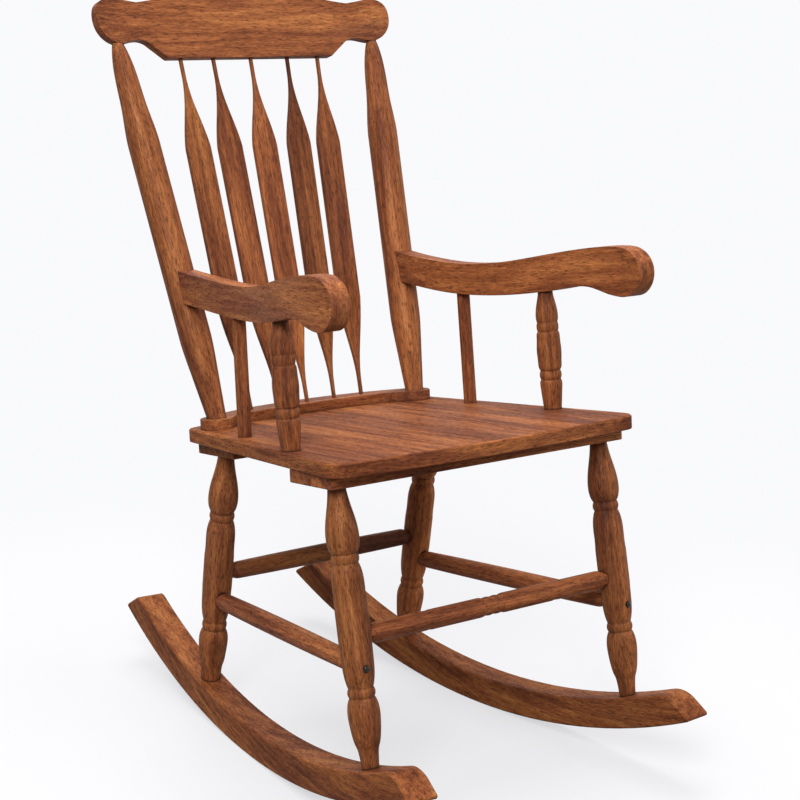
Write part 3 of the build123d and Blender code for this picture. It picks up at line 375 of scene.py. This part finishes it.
def wood(name, coordinates, seed, tone_and_shade, two_tone_split):
    """Oiled reddish-brown hardwood; coordinates gives a vector whose Z runs along the grain."""
    tree = Tree("wood_" + name)
    place = coordinates(tree)
    place = tree.vector_math("ADD", place, tuple(step * seed for step in SEED_STEP))
    waves = tree.vector_math("SUBTRACT", tree.noise(place, WAVES)["Color"], (0.5, 0.5, 0.5))
    warped = tree.vector_math("ADD", place, tree.scaled(waves, (WAVE_SHIFT, WAVE_SHIFT, 0.0)))

    figure = tree.noise(warped, FIGURE)["Fac"]
    streaks = tree.noise(warped, STREAKS)["Fac"]
    fibres = tree.noise(warped, FIBRES)["Fac"]
    pores = tree.window(tree.noise(warped, PORES)["Fac"], *PORE_RANGE)
    patches = tree.window(tree.noise(warped, PATCHES)["Fac"], *PATCH_RANGE)
    rings = tree.add(
        "ShaderNodeTexWave",
        {"wave_type": "RINGS", "rings_direction": "Z", "wave_profile": "SIN"},
        Vector=tree.scaled(warped, (1, 1, RING_ALONG)),
        Scale=24.0,
        Distortion=5.0,
        Detail=3.0,
        Detail_Scale=1.6,
    ).outputs["Fac"]

    value = tree.math("MULTIPLY", tree.window(figure, *FIGURE_RANGE), FIGURE_SHARE)
    for layer, share in (
        (tree.window(streaks, *STREAK_RANGE), STREAK_SHARE),
        (rings, RING_SHARE),
        (fibres, FIBRE_SHARE),
    ):
        value = tree.math("ADD", value, tree.math("MULTIPLY", layer, share))
    colour = tree.ramp(value, WOOD_RAMP)
    colour = tree.mix(tree.math("MULTIPLY", patches, PATCH_COVER), colour, PURPLE)
    colour = tree.mix(tree.math("MULTIPLY", pores, PORE_COVER), colour, PORE)

    lightness = tree.window(fibres, *FIBRE_RANGE, *FIBRE_TONES)
    # each piece's lightness: partly its timber's tone, partly painted shade and painted light
    lightness = tree.math("MULTIPLY", lightness, tone_and_shade)
    # two tones on either side of a plane through the piece's middle, with a sharp line between
    if two_tone_split:
        lightness = tree.math("MULTIPLY", lightness, split_tones(tree, *two_tone_split))
    grey = tree.add("ShaderNodeCombineXYZ", X=lightness, Y=lightness, Z=lightness)
    colour = tree.mix(1.0, colour, grey.outputs["Vector"], "MULTIPLY")

    # sharp edges get painted shade and are rubbed light in places, and corners and grooves get
    # painted shade
    turned = name.startswith(TURNED)
    radius = TURNED_EDGE_RADIUS if turned else EDGE_RADIUS
    soft = tree.add("ShaderNodeBevel", {"samples": 4}, Radius=radius).outputs["Normal"]
    bent = tree.window(tree.vector_math("DOT_PRODUCT", soft, tree.normal()), *EDGE_BEND)
    worn = tree.window(streaks, *RUBBED_RANGE, 0.0, EDGE_RUBBED)
    # painted shade along sharp edges
    colour = tree.mix(tree.math("MULTIPLY", bent, EDGE_PAINTED_SHADE), colour, PAINTED_SHADE)
    colour = tree.mix(tree.math("MULTIPLY", bent, worn), colour, WORN)
    # painted shade in corners and between parts, where little light reaches
    corner = tree.window(tree.openness(CORNER_REACH, 6), *CORNER_OPEN, 0.0, CORNER_PAINTED_SHADE)
    colour = tree.mix(corner, colour, PAINTED_SHADE)
    if turned:
        # painted shade in the turned grooves
        groove = tree.window(tree.openness(GROOVE_REACH, 8), *GROOVE_OPEN, 0.0, GROOVE_PAINTED_SHADE)
        colour = tree.mix(groove, colour, PAINTED_SHADE)

    roughness = tree.window(streaks, *SHEEN_RANGE, *WOOD_ROUGHNESS)
    roughness = tree.math("ADD", roughness, tree.math("MULTIPLY", pores, PORE_ROUGHNESS))
    height = tree.math("SUBTRACT", tree.math("MULTIPLY", fibres, FIBRE_HEIGHT), pores)
    height = tree.math("ADD", height, tree.math("MULTIPLY", streaks, STREAK_HEIGHT))
    bump = tree.add("ShaderNodeBump", Strength=0.35, Distance=0.00035, Height=height, Normal=soft)
    shader = tree.add(
        "ShaderNodeBsdfPrincipled",
        Base_Color=colour,
        Roughness=roughness,
        Normal=bump.outputs["Normal"],
        Specular_IOR_Level=LEVEL_SPECULAR if name.startswith(LEVEL) else SPECULAR,
        Coat_Weight=0.015,
        Coat_Roughness=0.32,
    )
    return tree.finish(shader.outputs["BSDF"])


def steel():
    """Dulled zinc plate with fine scratches and darker stains."""
    tree = Tree("steel")
    place = tree.place()
    stain = tree.window(tree.noise(place, STAINS)["Fac"], *STAIN_RANGE)
    scratch = tree.noise(place, SCRATCHES, "Y")["Fac"]
    bump = tree.add("ShaderNodeBump", Strength=0.15, Distance=0.0001, Height=scratch)
    shader = tree.add(
        "ShaderNodeBsdfPrincipled",
        Base_Color=tree.mix(stain, STEEL, STEEL_STAIN),
        Roughness=tree.window(scratch, *SCRATCH_RANGE, *STEEL_ROUGHNESS),
        Normal=bump.outputs["Normal"],
        Metallic=0.9,
    )
    return tree.finish(shader.outputs["BSDF"])


steel_finish = steel()
for number, (name, obj) in enumerate(sorted(NODES.items())):
    if "bolts" in name or "screws" in name:
        finish = steel_finish
    else:
        axis = Vector((1, 0, 0)) if name.startswith(ACROSS) else grain_axis(obj)
        grain, two_tone_split = grain_of(name, axis), split_plane(name, axis)
        finish = wood(name, grain, 1 + number, PIECE_TONE_AND_SHADE.get(name, 1.0), two_tone_split)
    obj.data.materials.clear()
    obj.data.materials.append(finish)


# ------------------------------------------------------------------ floor and backdrop
def seen_directly(nodes, links):
    """1 for rays from the camera, off gloss or through glass, and 0 for light."""
    path = nodes.new("ShaderNodeLightPath")
    total = path.outputs["Is Camera Ray"]
    for name in ("Is Glossy Ray", "Is Transmission Ray"):
        add = nodes.new("ShaderNodeMath")
        add.operation = "MAXIMUM"
        links.new(total, add.inputs[0])
        links.new(path.outputs[name], add.inputs[1])
        total = add.outputs[0]
    return total


def joined_shader(nodes, links, kind, *inputs):
    """A mix or a sum of shaders; inputs are linked in the node's order."""
    node = nodes.new(kind)
    for socket, value in zip(node.inputs, inputs):
        links.new(value, socket)
    return node.outputs[0]


floor_mesh = bpy.data.meshes.new("floor")
corners = [(x * FLOOR_HALF, y * FLOOR_HALF, 0) for x, y in ((-1, -1), (1, -1), (1, 1), (-1, 1))]
floor_mesh.from_pydata(corners, [], [(0, 1, 2, 3)])
floor = bpy.data.objects.new("floor", floor_mesh)
bpy.context.scene.collection.objects.link(floor)

tree = Tree("floor")
nodes, links = tree.nodes, tree.links
far = tree.window(tree.vector_math("LENGTH", tree.place()), *FLOOR_FADE)
pale = tree.add("ShaderNodeBsdfDiffuse", Color=(*FLOOR, 1)).outputs[0]
glow = tree.add("ShaderNodeEmission", Color=(*BACKGROUND, 1), Strength=FLOOR_GLOW).outputs[0]
plain = tree.add("ShaderNodeEmission", Color=(*BACKGROUND, 1), Strength=1.0).outputs[0]
bounce = tree.add("ShaderNodeBsdfDiffuse", Color=(*FLOOR_BOUNCE, 1)).outputs[0]
near = joined_shader(nodes, links, "ShaderNodeAddShader", pale, glow)
shown = joined_shader(nodes, links, "ShaderNodeMixShader", far, near, plain)
seen = seen_directly(nodes, links)
whole = joined_shader(nodes, links, "ShaderNodeMixShader", seen, bounce, shown)
floor_mesh.materials.append(tree.finish(whole))

world = bpy.data.worlds.new("studio")
bpy.context.scene.world = world
world.use_nodes = True
nodes, links = world.node_tree.nodes, world.node_tree.links
nodes.clear()
ambient = nodes.new("ShaderNodeBackground")
ambient.inputs["Color"].default_value = (1, 1, 1, 1)
ambient.inputs["Strength"].default_value = AMBIENT
backdrop = nodes.new("ShaderNodeBackground")
backdrop.inputs["Color"].default_value = (*BACKGROUND, 1)
seen = seen_directly(nodes, links)
sky = joined_shader(
    nodes, links, "ShaderNodeMixShader", seen, ambient.outputs[0], backdrop.outputs[0]
)
output = nodes.new("ShaderNodeOutputWorld")
links.new(sky, output.inputs["Surface"])


# ------------------------------------------------------------------ lights
def softbox(name, location, size, watts):
    light = bpy.data.lights.new(name, "AREA")
    light.shape = "SQUARE"
    light.size = size
    light.energy = watts
    lamp = bpy.data.objects.new(name, light)
    bpy.context.scene.collection.objects.link(lamp)
    lamp.location = location
    lamp.visible_camera = False
    lamp.rotation_euler = (LAMP_AIM - lamp.location).to_track_quat("-Z", "Y").to_euler()


for lamp in LAMPS:
    softbox(*lamp)

# ------------------------------------------------------------------ camera
camera = bpy.data.objects.new("camera", bpy.data.cameras.new("camera"))
camera.data.sensor_width = SENSOR_WIDTH
camera.data.lens = LENS
solved = Matrix.Translation(SOLVED_PLACE) @ Euler(SOLVED_TURN).to_matrix().to_4x4()
rolled = Matrix.Translation(ROLLED_SHIFT) @ Matrix.Rotation(-ROLLED_BACK, 4, "X")
camera.matrix_world = rolled @ solved
bpy.context.scene.collection.objects.link(camera)
bpy.context.scene.camera = camera
bpy.context.scene.view_settings.view_transform = "Standard"
